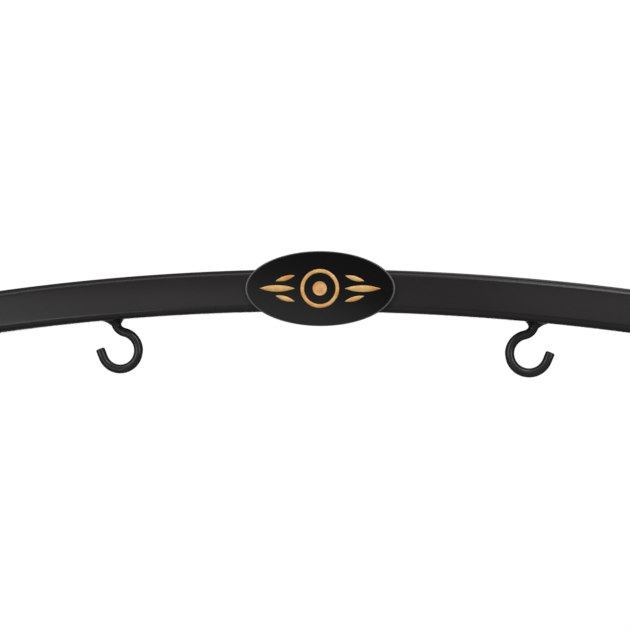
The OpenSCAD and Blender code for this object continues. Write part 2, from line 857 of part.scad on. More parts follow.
top_arch();
shoulder(-1);  // left_shoulder
shoulder(1);  // right_shoulder
left_hook();
right_hook();
badge_plate();
badge_ornament();
badge_pad();
upright(-1);  // left_upright
upright(1);  // right_upright
spigot(-1);  // left_spigot
spigot(1);  // right_spigot
arch_bolts();
arch_nuts();
foot_tube(-1);  // left_foot_tube
foot_tube(1);  // right_foot_tube
socket(-1);  // left_socket
socket(1);  // right_socket
gussets(-1);  // left_gussets
gussets(1);  // right_gussets
foot_end_caps();
foot_bolts();
foot_nuts();
crossbar_tube();
crossbar_flanges();
crossbar_bolts();
crossbar_nuts();
frame_washers();
stem_nuts();
bearing_balls();
for (c = CASTERS) {
  caster_stem(c);
  caster_fork(c);
  caster_axle(c);
  caster_hub(c);
  caster_tyre(c);
  brake_pedal(c);
  brake_pin(c);
}
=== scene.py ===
# %% [markdown]
# # A floor stand for a gong
# The stand is a tall arched frame of square steel tube on two feet with casters. Its working parts come
# packed from the CAD model: they are loaded here as a fixed frame, and nothing in this lesson moves them.
# What we add is everything the eye judges: bent tube with its weld seams, an oval badge with a gold
# ornament, the finish of each metal and plastic, a studio and a camera.

import json
import math

import bmesh
import bpy
from mathutils import Matrix, Vector, noise


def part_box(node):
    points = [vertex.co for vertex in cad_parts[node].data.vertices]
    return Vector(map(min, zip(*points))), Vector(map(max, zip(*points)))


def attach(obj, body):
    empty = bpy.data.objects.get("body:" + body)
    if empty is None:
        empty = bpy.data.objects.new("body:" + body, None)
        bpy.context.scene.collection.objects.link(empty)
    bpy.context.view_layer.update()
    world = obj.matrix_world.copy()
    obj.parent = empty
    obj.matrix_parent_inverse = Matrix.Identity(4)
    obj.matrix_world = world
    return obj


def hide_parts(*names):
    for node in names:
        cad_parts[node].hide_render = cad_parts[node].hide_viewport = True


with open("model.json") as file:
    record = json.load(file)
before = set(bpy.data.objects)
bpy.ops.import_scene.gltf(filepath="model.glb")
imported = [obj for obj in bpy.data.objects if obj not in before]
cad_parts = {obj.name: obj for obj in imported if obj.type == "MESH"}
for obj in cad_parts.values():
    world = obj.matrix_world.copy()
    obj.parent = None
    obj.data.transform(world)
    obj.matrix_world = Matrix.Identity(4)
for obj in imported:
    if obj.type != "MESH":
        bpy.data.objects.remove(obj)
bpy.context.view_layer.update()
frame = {"nodes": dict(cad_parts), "record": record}

# %% [markdown]
# ## Sizes
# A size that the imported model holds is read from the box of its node, so that new pieces follow it. The
# few that a box can't give, such as a bend's radius, are named once here, in metres, as a maker would
# write them on the drawing.

# %% Sizes read from the model, and the bends
TUBE_WALL = 0.002
ARCH_R = 1.690
SHOULDER_R = 0.140
TAIL = 0.090
HOOK_R = 0.0135
HOOK_NECK_R = 0.009
HOOK_ROD = 0.00325
HOOK_NECK_ANGLE = math.radians(77)
HOOK_TIP_ANGLE = math.radians(22)
HOOK_TIP = 0.0066
WELD_R = 0.0038

arch_low, arch_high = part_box("top_arch")
pad_low, pad_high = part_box("badge_pad")
tube = arch_high.y - arch_low.y
corner = (tube - (pad_high.z - pad_low.z)) / 2      # the pad covers just the flat front of the tube
apex_z = arch_high.z - tube / 2
arch_centre = Vector((0, 0, apex_z - ARCH_R))
post_low, post_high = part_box("right_upright")
half = (post_low.x + post_high.x) / 2
sweep = math.asin((half - SHOULDER_R) / (ARCH_R - SHOULDER_R))
print(f"tube {tube * 1000:.1f} mm, corners {corner * 1000:.1f} mm, apex {apex_z:.4f} m")
print(f"arch sweep {math.degrees(2 * sweep):.1f} degrees")

# %% [markdown]
# ## Camera
# The photograph was taken a little right of the middle and just under the tube, from 0.7 m away. Fitting a
# pinhole camera to the edges of the arch gave its place, its small turn to the left and a focal length of
# 1000 pixels on a 630 pixel frame. A camera looks along its own -Z, so its matrix has the right, up and
# backward directions as columns.

# %% Place the camera
FRAME_PX = 630
FOCAL_PX = 1000
SENSOR = 36
CAMERA_AT = Vector((0.0526, -0.7136, -0.0321)) + Vector((0, 0, apex_z))
YAW = math.radians(-4.59)
PITCH = math.radians(1.19)
ROLL = math.radians(0.39)

forward = Vector((math.sin(YAW) * math.cos(PITCH), math.cos(YAW) * math.cos(PITCH), math.sin(PITCH)))
level = Vector((math.cos(YAW), -math.sin(YAW), 0))
upward = level.cross(forward)
right = level * math.cos(ROLL) + upward * math.sin(ROLL)
up = upward * math.cos(ROLL) - level * math.sin(ROLL)
turn = Matrix((right, up, -forward)).transposed()
camera = bpy.data.objects.new("camera", bpy.data.cameras.new("camera"))
camera.data.sensor_width = SENSOR
camera.data.lens = FOCAL_PX * SENSOR / FRAME_PX
camera.matrix_world = Matrix.Translation(CAMERA_AT) @ turn.to_4x4()
bpy.context.scene.collection.objects.link(camera)
bpy.context.scene.camera = camera
print(f"lens {camera.data.lens:.2f} mm")

# %% [markdown]
# ## Helpers for meshes
# Each piece starts as a bmesh, a mesh that Blender's editing operators can shape in memory. `finish_mesh`
# turns it into an object: faces are shaded smooth, and edges sharper than a limit stay crisp. `fit` then
# gives the piece its material, hides the CAD nodes that it stands for and lets it ride on its body.

# %% Turn a bmesh into a finished piece
SHARP = math.radians(38)


def finish_mesh(name, bm, sharp=SHARP):
    """Makes an object of a bmesh, smooth except across edges sharper than the limit."""
    bmesh.ops.recalc_face_normals(bm, faces=bm.faces)
    for face in bm.faces:
        face.smooth = True
    for edge in bm.edges:
        edge.smooth = len(edge.link_faces) != 2 or edge.calc_face_angle() < sharp
    mesh = bpy.data.meshes.new(name)
    bm.to_mesh(mesh)
    bm.free()
    piece = bpy.data.objects.new(name, mesh)
    bpy.context.scene.collection.objects.link(piece)
    return piece


def fit(piece, body, slot, material, *nodes):
    """Gives a piece its finish, hides the CAD nodes that it stands for and lets it ride on its body."""
    piece.data.materials.clear()
    piece.data.materials.append(material)
    if nodes:
        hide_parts(*nodes)
    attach(piece, body)
    print(f"{piece.name}: {len(piece.data.polygons)} faces on {body}")
    return piece


# %% [markdown]
# ## Shader node groups
# Powder coat, plastic and rubber all have some fine unevenness, only at other sizes. One node group makes
# it for all of them: two layers of noise on Object coordinates, so that the pattern keeps its real size
# and doesn't slide. It puts out a height for a Bump node and a slow and a fine tone for colour and gloss.

# %% Group: fine unevenness
def new_group(name, inputs, outputs):
    """A shader node group with named float inputs and outputs."""
    group = bpy.data.node_groups.new(name, "ShaderNodeTree")
    for label, value in inputs:
        socket = group.interface.new_socket(label, in_out="INPUT", socket_type="NodeSocketFloat")
        socket.default_value = value
    for label in outputs:
        group.interface.new_socket(label, in_out="OUTPUT", socket_type="NodeSocketFloat")
    return group


def add(tree, kind, **settings):
    """A new node with its properties set."""
    node = tree.nodes.new(kind)
    for key, value in settings.items():
        setattr(node, key, value)
    return node


def math_node(tree, operation, first, second):
    """A Math node fed by a socket and a socket or number."""
    node = add(tree, "ShaderNodeMath", operation=operation)
    for socket, source in zip(node.inputs, (first, second)):
        if isinstance(source, (int, float)):
            socket.default_value = source
        else:
            tree.links.new(source, socket)
    return node.outputs[0]


uneven = new_group("fine unevenness", [("Coarse Scale", 600), ("Fine Scale", 2200), ("Fine Share", 0.35),
                                       ("Slow Scale", 9)], ["Height", "Slow Tone", "Fine Tone"])
group_in = uneven.nodes.new("NodeGroupInput")
group_out = uneven.nodes.new("NodeGroupOutput")
place = uneven.nodes.new("ShaderNodeTexCoord")
layers = {}
for label, detail, roughness in (("Coarse Scale", 2, 0.5), ("Fine Scale", 3, 0.6), ("Slow Scale", 4, 0.55)):
    layer = add(uneven, "ShaderNodeTexNoise", noise_dimensions="3D")
    layer.inputs["Detail"].default_value = detail
    layer.inputs["Roughness"].default_value = roughness
    uneven.links.new(place.outputs["Object"], layer.inputs["Vector"])
    uneven.links.new(group_in.outputs[label], layer.inputs["Scale"])
    layers[label] = layer.outputs["Fac"]
fine_part = math_node(uneven, "MULTIPLY", layers["Fine Scale"], group_in.outputs["Fine Share"])
height = math_node(uneven, "ADD", layers["Coarse Scale"], fine_part)
uneven.links.new(height, group_out.inputs["Height"])
uneven.links.new(layers["Slow Scale"], group_out.inputs["Slow Tone"])
uneven.links.new(layers["Fine Scale"], group_out.inputs["Fine Tone"])
print("group", uneven.name, "has", len(uneven.nodes), "nodes")

# %% [markdown]
# Brushed and turned metal has scratches that run one way. The second group stretches noise along one axis:
# its input scales say how fine the pattern is along X, Y and Z.

# %% Group: brushed lines
PATCH_SCALE = 130

brushed = new_group("brushed lines", [("X Scale", 40), ("Y Scale", 900), ("Z Scale", 900)],
                    ["Lines", "Patches"])
group_in = brushed.nodes.new("NodeGroupInput")
group_out = brushed.nodes.new("NodeGroupOutput")
place = brushed.nodes.new("ShaderNodeTexCoord")
stretch = brushed.nodes.new("ShaderNodeCombineXYZ")
for axis in "XYZ":
    brushed.links.new(group_in.outputs[f"{axis} Scale"], stretch.inputs[axis])
scaled = add(brushed, "ShaderNodeVectorMath", operation="MULTIPLY")
brushed.links.new(place.outputs["Object"], scaled.inputs[0])
brushed.links.new(stretch.outputs[0], scaled.inputs[1])
sources = (("Lines", scaled.outputs[0], 1, 4), ("Patches", place.outputs["Object"], PATCH_SCALE, 3))
for label, source, scale, detail in sources:
    layer = add(brushed, "ShaderNodeTexNoise", noise_dimensions="3D")
    layer.inputs["Scale"].default_value = scale
    layer.inputs["Detail"].default_value = detail
    brushed.links.new(source, layer.inputs["Vector"])
    brushed.links.new(layer.outputs["Fac"], group_out.inputs[label])
print("group", brushed.name, "has", len(brushed.nodes), "nodes")

# %% [markdown]
# ## Materials
# Every finish is one Principled shader. What is the same all over, such as the coat or the metal value, is
# set on the shader itself; only colour, roughness and the bump come from the groups, mapped from the 0.3
# to 0.7 that noise mostly spans to the range that the real finish shows.

# %% Build a finish from a group
NOISE_LOW = 0.3
NOISE_HIGH = 0.7


def map_tone(tree, tone, low, high):
    """A noise output mapped to a range of numbers."""
    node = tree.nodes.new("ShaderNodeMapRange")
    for label, value in zip(("From Min", "From Max", "To Min", "To Max"), (NOISE_LOW, NOISE_HIGH, low, high)):
        node.inputs[label].default_value = value
    tree.links.new(tone, node.inputs["Value"])
    return node.outputs["Result"]


def mix_colour(tree, factor, first, second):
    """A Mix node between two colours, each a colour or a socket."""
    node = add(tree, "ShaderNodeMix", data_type="RGBA")
    tree.links.new(factor, node.inputs["Factor"])
    for socket, source in ((node.inputs["A"], first), (node.inputs["B"], second)):
        if isinstance(source, tuple):
            socket.default_value = (*source, 1)
        else:
            tree.links.new(source, socket)
    return node.outputs["Result"]


def new_finish(name, group, scales, **constants):
    """A material with a Principled shader and one group in it, ready to be linked."""
    material = bpy.data.materials.new(name)
    material.use_nodes = True
    tree = material.node_tree
    shader = tree.nodes["Principled BSDF"]
    for label, value in constants.items():
        shader.inputs[label.replace("_", " ")].default_value = value
    pattern = add(tree, "ShaderNodeGroup", node_tree=group)
    for label, value in scales.items():
        pattern.inputs[label].default_value = value
    return material, tree, shader, pattern.outputs


def add_bump(tree, shader, source, strength, distance):
    """Bump from a height socket."""
    bump = tree.nodes.new("ShaderNodeBump")
    bump.inputs["Strength"].default_value = strength
    bump.inputs["Distance"].default_value = distance
    tree.links.new(source, bump.inputs["Height"])
    tree.links.new(bump.outputs["Normal"], shader.inputs["Normal"])


def uneven_finish(name, dark, light, rough, scales, bump, **constants):
    """Paint, plastic or rubber: a slow mottle in colour, a fine one in gloss, and a bump."""
    material, tree, shader, out = new_finish(name, uneven, scales, **constants)
    tone = map_tone(tree, out["Slow Tone"], 0, 1)
    tree.links.new(mix_colour(tree, tone, dark, light), shader.inputs["Base Color"])
    tree.links.new(map_tone(tree, out["Fine Tone"], *rough), shader.inputs["Roughness"])
    add_bump(tree, shader, out["Height"], *bump)
    return material


def brushed_finish(name, dark, light, rough, scales, bump, **constants):
    """Metal: lines in gloss and height, and patches in colour."""
    material, tree, shader, out = new_finish(name, brushed, scales, **constants)
    tone = map_tone(tree, out["Patches"], 0, 1)
    tree.links.new(mix_colour(tree, tone, dark, light), shader.inputs["Base Color"])
    tree.links.new(map_tone(tree, out["Lines"], *rough), shader.inputs["Roughness"])
    add_bump(tree, shader, out["Lines"], *bump)
    return material


# %% [markdown]
# The frame's powder coat is a satin black that is never quite flat: it dries with a fine orange peel. The
# plastics differ in the size of their grain, and the tyre is matt with a faint bloom.

# %% Paint, plastic and rubber
coat = uneven_finish(
    "satin powder coat", (0.02, 0.0176, 0.0178), (0.027, 0.024, 0.0242), (0.17, 0.24),
    {"Coarse Scale": 620, "Fine Scale": 1900, "Fine Share": 0.4, "Slow Scale": 7}, (0.22, 0.00008))
moulded = uneven_finish(
    "moulded black plastic", (0.012, 0.012, 0.013), (0.02, 0.02, 0.021), (0.42, 0.6),
    {"Coarse Scale": 1500, "Fine Scale": 4200, "Fine Share": 0.6, "Slow Scale": 30}, (0.3, 0.00006))
hub_plastic = uneven_finish(
    "grey hub plastic", (0.2, 0.2, 0.21), (0.27, 0.27, 0.28), (0.38, 0.5),
    {"Coarse Scale": 1100, "Fine Scale": 4000, "Fine Share": 0.5, "Slow Scale": 45}, (0.2, 0.00005))
rubber = uneven_finish(
    "tyre rubber", (0.014, 0.014, 0.014), (0.032, 0.031, 0.03), (0.62, 0.82),
    {"Coarse Scale": 700, "Fine Scale": 3000, "Fine Share": 0.7, "Slow Scale": 60}, (0.35, 0.00008))
foam = uneven_finish(
    "foam pad", (0.008, 0.008, 0.008), (0.018, 0.018, 0.018), (0.8, 0.95),
    {"Coarse Scale": 1400, "Fine Scale": 3600, "Fine Share": 0.8, "Slow Scale": 90}, (0.8, 0.0002))
print("finishes so far", [m.name for m in (coat, moulded, hub_plastic, rubber, foam)])

# %% [markdown]
# Zinc plate is bright with cloudy patches, a little blue where it is thick and warm where it is thin.
# The frame's bolts are black oxide, and the badge's ornament is satin gold.

# %% Metals
zinc = brushed_finish(
    "zinc plate", (0.44, 0.46, 0.5), (0.62, 0.61, 0.57), (0.24, 0.42),
    {"X Scale": 260, "Y Scale": 260, "Z Scale": 900}, (0.12, 0.00005), Metallic=1.0)
black_oxide = brushed_finish(
    "black oxide steel", (0.028, 0.028, 0.031), (0.055, 0.053, 0.052), (0.3, 0.46),
    {"X Scale": 500, "Y Scale": 500, "Z Scale": 500}, (0.15, 0.00005), Metallic=0.85)
gold = brushed_finish(
    "satin gold", (0.86, 0.36, 0.08), (1.0, 0.68, 0.27), (0.26, 0.4),
    {"X Scale": 120, "Y Scale": 800, "Z Scale": 1500}, (0.2, 0.00004), Metallic=0.15)
print("metals", zinc.name, black_oxide.name, gold.name)

# %% [markdown]
# The badge is black enamel, glossier than the frame. Its bevel is rougher and painted lighter, a painted
# highlight for the light line that the rim catches. One material does both: a mask grows from 0 to 1 where
# the distance from the badge's middle, measured in badge widths across and badge heights up, passes the start
# of the bevel.

# %% Badge enamel with a painted highlight on its bevel
BADGE_BEVEL = 0.0008
MASK_START = 1.9          # in half bevels, inward from the rim
MASK_END = 1.1
FLAT_DEPTH = 1000         # so large that the distance along Y counts for nothing
FACE_COLOUR = (0.0014, 0.0011, 0.0011)
# The bevel's lighter colour is a painted highlight: the light line that the rim catches all round.
BEVEL_HIGHLIGHT_COLOUR = (0.13, 0.125, 0.12)
FACE_ROUGH = (0.1, 0.15)
EDGE_ROUGH = 0.22
plate_low, plate_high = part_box("badge_plate")
badge_at = (plate_low + plate_high) / 2
badge_w = plate_high.x - plate_low.x
badge_h = plate_high.z - plate_low.z
badge_t = plate_high.y - plate_low.y

enamel, tree, shader, out = new_finish(
    "badge enamel", uneven, {"Coarse Scale": 90, "Fine Scale": 2600, "Fine Share": 0.05, "Slow Scale": 20},
    IOR=1.58)
where = tree.nodes.new("ShaderNodeTexCoord")
centred = tree.nodes.new("ShaderNodeMapping")
centred.vector_type = "TEXTURE"
centred.inputs["Location"].default_value = badge_at
centred.inputs["Scale"].default_value = (badge_w / 2, FLAT_DEPTH, badge_h / 2)
tree.links.new(where.outputs["Object"], centred.inputs["Vector"])
reach = add(tree, "ShaderNodeVectorMath", operation="LENGTH")
tree.links.new(centred.outputs["Vector"], reach.inputs[0])
# edge is the mask of the painted highlight on the bevel: 0 on the face and 1 on the rim.
edge = tree.nodes.new("ShaderNodeMapRange")
edge.inputs["From Min"].default_value = 1 - MASK_START * BADGE_BEVEL / badge_h
edge.inputs["From Max"].default_value = 1 - MASK_END * BADGE_BEVEL / badge_h
tree.links.new(reach.outputs["Value"], edge.inputs["Value"])
tree.links.new(mix_colour(tree, edge.outputs["Result"], FACE_COLOUR, BEVEL_HIGHLIGHT_COLOUR),
               shader.inputs["Base Color"])
face_gloss = map_tone(tree, out["Fine Tone"], *FACE_ROUGH)
edge_gloss = math_node(tree, "MULTIPLY", edge.outputs["Result"], EDGE_ROUGH)
tree.links.new(math_node(tree, "ADD", face_gloss, edge_gloss), shader.inputs["Roughness"])
add_bump(tree, shader, out["Height"], 0.05, 0.0001)
print(f"badge {badge_w * 1000:.1f} x {badge_h * 1000:.1f} mm")

# %% [markdown]
# ## CAD nodes keep their shape and get their finish
# Each node in the record names its slot, and each slot has one of the materials above.

# %% Give every CAD node its finish
FINISHES = {
    "powder_coat": coat,
    "badge_enamel": enamel,
    "gold_inlay": gold,
    "foam_pad": foam,
    "zinc_plate": zinc,
    "black_oxide": black_oxide,
    "moulded_black": moulded,
    "hub_grey": hub_plastic,
    "tyre_rubber": rubber,
}
slot_of = {part["node"]: part["material_slot"] for part in frame["record"]["subparts"]}
body_of = {node: body for body, group in frame["record"]["behaviour"]["bodies"].items() for node in group}
for name, node in frame["nodes"].items():
    node.data.materials.clear()
    node.data.materials.append(FINISHES[slot_of[name]])
print("slots used", sorted(set(slot_of.values())))

# %% [markdown]
# ## Studio
# The floor is a pale round sheet whose rim fades into the white surround. The frame's gloss shows what
# stands round it, so the lights are large and soft: one panel high in front makes the light line along
# the tube's upper corner, a low wide one lightens its face, and weaker ones fill the sides and the back.
# One more lamp is hidden from gloss and only lifts the matt colours, such as the gold and the floor.
# Only camera rays see the floor's full white and its faint glow; the light that it throws back is greyer.

# %% Floor
FLOOR_R = 3.4
FLOOR_FADE = 1.6
FLOOR_GLOW = 0.42
FLOOR_SIDES = 96
FLOOR_LIGHT = (0.4, 0.4, 0.4)
FLOOR_SEEN = (0.9, 0.9, 0.9)

bm = bmesh.new()
bmesh.ops.create_circle(bm, cap_ends=True, segments=FLOOR_SIDES, radius=FLOOR_R)
floor = finish_mesh("floor", bm)
pale = bpy.data.materials.new("pale floor")
pale.use_nodes = True
tree = pale.node_tree
tree.nodes.clear()
paint = tree.nodes.new("ShaderNodeBsdfDiffuse")
seen = tree.nodes.new("ShaderNodeLightPath")
tree.links.new(mix_colour(tree, seen.outputs["Is Camera Ray"], FLOOR_LIGHT, FLOOR_SEEN),
               paint.inputs["Color"])
glow = tree.nodes.new("ShaderNodeEmission")
glow_seen = math_node(tree, "MULTIPLY", seen.outputs["Is Camera Ray"], FLOOR_GLOW)
tree.links.new(glow_seen, glow.inputs["Strength"])
bright = tree.nodes.new("ShaderNodeAddShader")
clear = tree.nodes.new("ShaderNodeBsdfTransparent")
blend = tree.nodes.new("ShaderNodeMixShader")
where = tree.nodes.new("ShaderNodeTexCoord")
reach = add(tree, "ShaderNodeVectorMath", operation="LENGTH")
fade = add(tree, "ShaderNodeMapRange", interpolation_type="SMOOTHSTEP")
fade.inputs["From Min"].default_value = FLOOR_R - FLOOR_FADE
fade.inputs["From Max"].default_value = FLOOR_R
out = tree.nodes.new("ShaderNodeOutputMaterial")
tree.links.new(where.outputs["Object"], reach.inputs[0])
tree.links.new(reach.outputs["Value"], fade.inputs["Value"])
tree.links.new(fade.outputs["Result"], blend.inputs["Fac"])
tree.links.new(paint.outputs[0], bright.inputs[0])
tree.links.new(glow.outputs[0], bright.inputs[1])
tree.links.new(bright.outputs[0], blend.inputs[1])
tree.links.new(clear.outputs[0], blend.inputs[2])
tree.links.new(blend.outputs[0], out.inputs["Surface"])
floor.data.materials.append(pale)
print("floor radius", FLOOR_R, "m")

# %% [markdown]
# The photograph's ground is pure white, which is too bright to be mirrored in a black gloss. A Light Path
# node tells the two apart: camera rays see a white background, and all other rays a dim one. The Standard
# view shows that white as full white, where a film-like view would make it grey.

# %% Surround and colour
SKY_TINT = (0.9, 0.93, 1.0, 1)
SKY_DIM = 0.1
SKY_SEEN = 1.02

world = bpy.data.worlds.new("studio")
world.use_nodes = True
bpy.context.scene.world = world
tree = world.node_tree
dim = tree.nodes["Background"]
dim.inputs["Color"].default_value = SKY_TINT
dim.inputs["Strength"].default_value = SKY_DIM
white = tree.nodes.new("ShaderNodeBackground")
white.inputs["Color"].default_value = (1, 1, 1, 1)
white.inputs["Strength"].default_value = SKY_SEEN
seen = tree.nodes.new("ShaderNodeLightPath")
blend = tree.nodes.new("ShaderNodeMixShader")
tree.links.new(seen.outputs["Is Camera Ray"], blend.inputs["Fac"])
tree.links.new(dim.outputs[0], blend.inputs[1])
tree.links.new(white.outputs[0], blend.inputs[2])
tree.links.new(blend.outputs[0], tree.nodes["World Output"].inputs["Surface"])
bpy.context.scene.view_settings.view_transform = "Standard"
print("surround is white to the camera")

# %% [markdown]
# A black coat shows its lights as reflections, so each light is a rectangle with a true size and place. It
# is put at a distance in some direction and turned to face the arch. Its energy follows from its area, so
# a panel can grow without getting brighter. The numbers are azimuth, elevation, distance, width, height
# and radiance, and `turn` rolls the panel about the line to the arch.

# %% Soft lights
STAND_MIDDLE = Vector((0, 0, apex_z))


def softbox(name, azimuth, elevation, distance, width, height, radiance, turn=0):
    """A rectangular light that faces the arch from a direction: azimuth 0 is in front, 90 on the right."""
    round_by = math.radians(azimuth)
    rise = math.radians(elevation)
    away = Vector((math.sin(round_by) * math.cos(rise), -math.cos(round_by) * math.cos(rise), math.sin(rise)))
    light = bpy.data.lights.new(name, "AREA")
    light.shape = "RECTANGLE"
    light.size = width
    light.size_y = height
    light.energy = radiance * math.pi * width * height
    lamp = bpy.data.objects.new(name, light)
    lamp.visible_camera = False
    facing = away.to_track_quat("Z", "Y").to_matrix().to_4x4() @ Matrix.Rotation(math.radians(turn), 4, "Z")
    lamp.matrix_world = Matrix.Translation(STAND_MIDDLE + away * distance) @ facing
    bpy.context.scene.collection.objects.link(lamp)
    print(f"{name}: {light.energy:.1f} W")
    return lamp


softbox("overhead_panel", -10, 63, 1.9, 2.4, 0.64, 1.2, turn=24)
softbox("overhead_right", 30, 42, 2.0, 0.9, 0.64, 3.0, turn=20)
softbox("front_left_panel", -19.5, -0.6, 3.0, 2.04, 0.6, 0.44, turn=-12)
softbox("front_left_fill", -37, 0, 3.0, 1.2, 1.0, 0.35)
softbox("front_right_fill", 21, 0, 3.0, 1.4, 0.9, 0.36)
softbox("low_left_strip", -24, -16, 2.2, 0.9, 0.24, 2.4, turn=-58)
softbox("left_panel", -46, 14, 2.6, 0.5, 2.2, 4)
softbox("right_panel", 44, 14, 2.6, 0.5, 2.2, 4)
softbox("back_panel", 150, 55, 3.4, 2.0, 1.2, 1.0)
softbox("low_back_panel", 180, -7, 3.6, 4.0, 0.5, 2.4)
softbox("matt_fill", 0, 35, 3.0, 2.0, 1.5, 2.2).visible_glossy = False

# %% [markdown]
# ## Bent square tube
# A tube bender pulls a straight square tube round a former. The same can be done to a flat outline: a
# square face gets its four corners rounded with a vertex bevel, an inset leaves the wall, and spin turns
# that ring of faces about the bend's centre. It leaves a closed solid with a wall of true thickness.

# %% Outline of a tube and its sweep along a bend
CORNER_STEPS = 8
HALF_UNIT = 0.5           # a grid of this size is one unit wide
ROUND = 0.5               # the bevel profile of a quarter circle
Y_AXIS = Vector((0, 1, 0))


def verts_of(geometry):
    """The verts among a bmesh operator's results."""
    return [item for item in geometry if isinstance(item, bmesh.types.BMVert)]


def edges_of(geometry):
    """The edges among a bmesh operator's results."""
    return [item for item in geometry if isinstance(item, bmesh.types.BMEdge)]


def rounded_face(bm, width, height, radius, steps=CORNER_STEPS):
    """A flat face in the XY plane with rounded corners."""
    verts = bmesh.ops.create_grid(bm, x_segments=1, y_segments=1, size=HALF_UNIT)["verts"]
    bmesh.ops.scale(bm, vec=(width, height, 1), verts=verts)
    made = bmesh.ops.bevel(bm, geom=verts, offset=radius, offset_type="OFFSET", segments=steps,
                           profile=ROUND, affect="VERTICES", material=-1)
    return made["verts"][0].link_faces[0]


def tube_ring(bm, width, height, radius, wall):
    """The cut end of a tube: a ring of faces in the XY plane."""
    face = rounded_face(bm, width, height, radius)
    bmesh.ops.inset_region(bm, faces=[face], thickness=wall, use_even_offset=True, use_boundary=True)
    bmesh.ops.delete(bm, geom=[face], context="FACES_ONLY")


def on_bend(centre, radius, angle):
    """Matrix that puts the XY plane square across a bend in the XZ plane, at an angle above +X."""
    turned = Matrix.Translation(centre) @ Matrix.Rotation(-angle, 4, Y_AXIS)
    return turned @ Matrix.Translation((radius, 0, 0))


def bent_tube(bm, centre, radius, start, turn_by, steps):
    """Sweeps a new tube ring round a bend and returns the verts of its far end."""
    tube_ring(bm, tube, tube, corner, TUBE_WALL)
    bmesh.ops.transform(bm, matrix=on_bend(centre, radius, start), verts=bm.verts)
    swept = bmesh.ops.spin(bm, geom=bm.faces[:], cent=centre, axis=-Y_AXIS, angle=turn_by, steps=steps,
                           use_duplicate=False)
    return swept["geom_last"]


# %% [markdown]
# The top of the frame is one long gentle bend with a tight bend welded to each end. Each is swept by
# itself, and the shoulder's cut end is then extruded straight down as its tail. The left shoulder is the
# right one mirrored: a scale of -1 turns its faces inside out, and `finish_mesh` turns them back.

# %% Arch and shoulders
ARCH_STEPS = 180
SHOULDER_STEPS = 48
bm = bmesh.new()
bent_tube(bm, arch_centre, ARCH_R, math.pi / 2 - sweep, 2 * sweep, ARCH_STEPS)
fit(finish_mesh("arch_tube", bm), "frame", "powder_coat", coat, "top_arch")

shoulder_at = arch_centre + (ARCH_R - SHOULDER_R) * Vector((math.sin(sweep), 0, math.cos(sweep)))
for side, flip in (("right", 1), ("left", -1)):
    bm = bmesh.new()
    cut_end = bent_tube(bm, shoulder_at, SHOULDER_R, math.pi / 2 - sweep, sweep - math.pi / 2, SHOULDER_STEPS)
    tail = bmesh.ops.extrude_face_region(bm, geom=cut_end)["geom"]
    bmesh.ops.translate(bm, vec=(0, 0, -TAIL), verts=verts_of(tail))
    bmesh.ops.scale(bm, vec=(flip, 1, 1), verts=bm.verts)
    fit(finish_mesh(f"{side}_shoulder_tube", bm), "frame", "powder_coat", coat, f"{side}_shoulder")

# %% [markdown]
# ## Weld beads
# Where tubes meet, the welder leaves a low bead with small overlapping scales, softened by the powder coat.
# A bead round a tube is a stack of outlines that swell and shrink, bridged one to the next. Then each
# point moves a little outwards by a wave along the seam and by noise, because no hand is even.

# %% Bead round a tube
BEAD_ROWS = 8
BEAD_CUTS = 34
BEAD_SINK = 0.0004
SCALE_PITCH = 0.0021
SCALE_BOW = 2.5           # how far the scales lag behind at the bead's edges, in radians
SCALE_SHARE = 0.13
DRIFT_SHARE = 0.22
DRIFT_SCALE = 260


def loop_verts(edges):
    """The verts of a loop of edges, each once."""
    return list(dict.fromkeys(vert for edge in edges for vert in edge.verts))


def bead_round(bm, place, side, radius, run, crown):
    """A closed weld bead round a tube's outline: run is its half length along the tube, crown its height."""
    rows = []
    for row in range(BEAD_ROWS + 1):
        along = 2 * row / BEAD_ROWS - 1
        swell = crown * math.sqrt(max(0, 1 - along * along)) - BEAD_SINK
        face = rounded_face(bm, side + 2 * swell, side + 2 * swell, radius + swell)
        straight = [e for e in face.edges if e.calc_length() > radius]
        bmesh.ops.subdivide_edges(bm, edges=straight, cuts=BEAD_CUTS)
        bmesh.ops.translate(bm, vec=(0, 0, along * run), verts=face.verts)
        rows.append(face.edges[:])
        bmesh.ops.delete(bm, geom=[face], context="FACES_ONLY")
    for first, second in zip(rows, rows[1:] + rows[:1]):
        bmesh.ops.bridge_loops(bm, edges=first + second)
    verts = [vert for edges in rows for vert in loop_verts(edges)]
    for vert in verts:
        around = math.atan2(vert.co.y, vert.co.x) * side / 2
        wave = math.sin(math.tau * (around / SCALE_PITCH) + SCALE_BOW * (vert.co.z / run) ** 2)
        drift = noise.noise(vert.co * DRIFT_SCALE)
        outward = Vector((vert.co.x, vert.co.y, 0)).normalized()
        vert.co += outward * crown * (SCALE_SHARE * wave + DRIFT_SHARE * drift)
    bmesh.ops.transform(bm, matrix=place, verts=verts)


# %% [markdown]
# Two seams join the arch to its shoulders: a bead between equal tubes is wide and low. A fillet in a
# corner is narrower and higher, and runs round each socket on its foot and round the crossbar's ends.

# %% Seams of the frame
SEAM_RUN = 0.0032
SEAM_CROWN = 0.0009
FILLET_RUN = 0.0026
FILLET_CROWN = 0.0017
socket_low, socket_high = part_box("right_socket")
socket = socket_high.x - socket_low.x
foot_top = socket_low.z
bar_low, bar_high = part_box("crossbar_tube")

bm = bmesh.new()
for angle in (math.pi / 2 - sweep, math.pi / 2 + sweep):
    bead_round(bm, on_bend(arch_centre, ARCH_R, angle), tube, corner, SEAM_RUN, SEAM_CROWN)
fit(finish_mesh("arch_welds", bm), "frame", "powder_coat", coat)

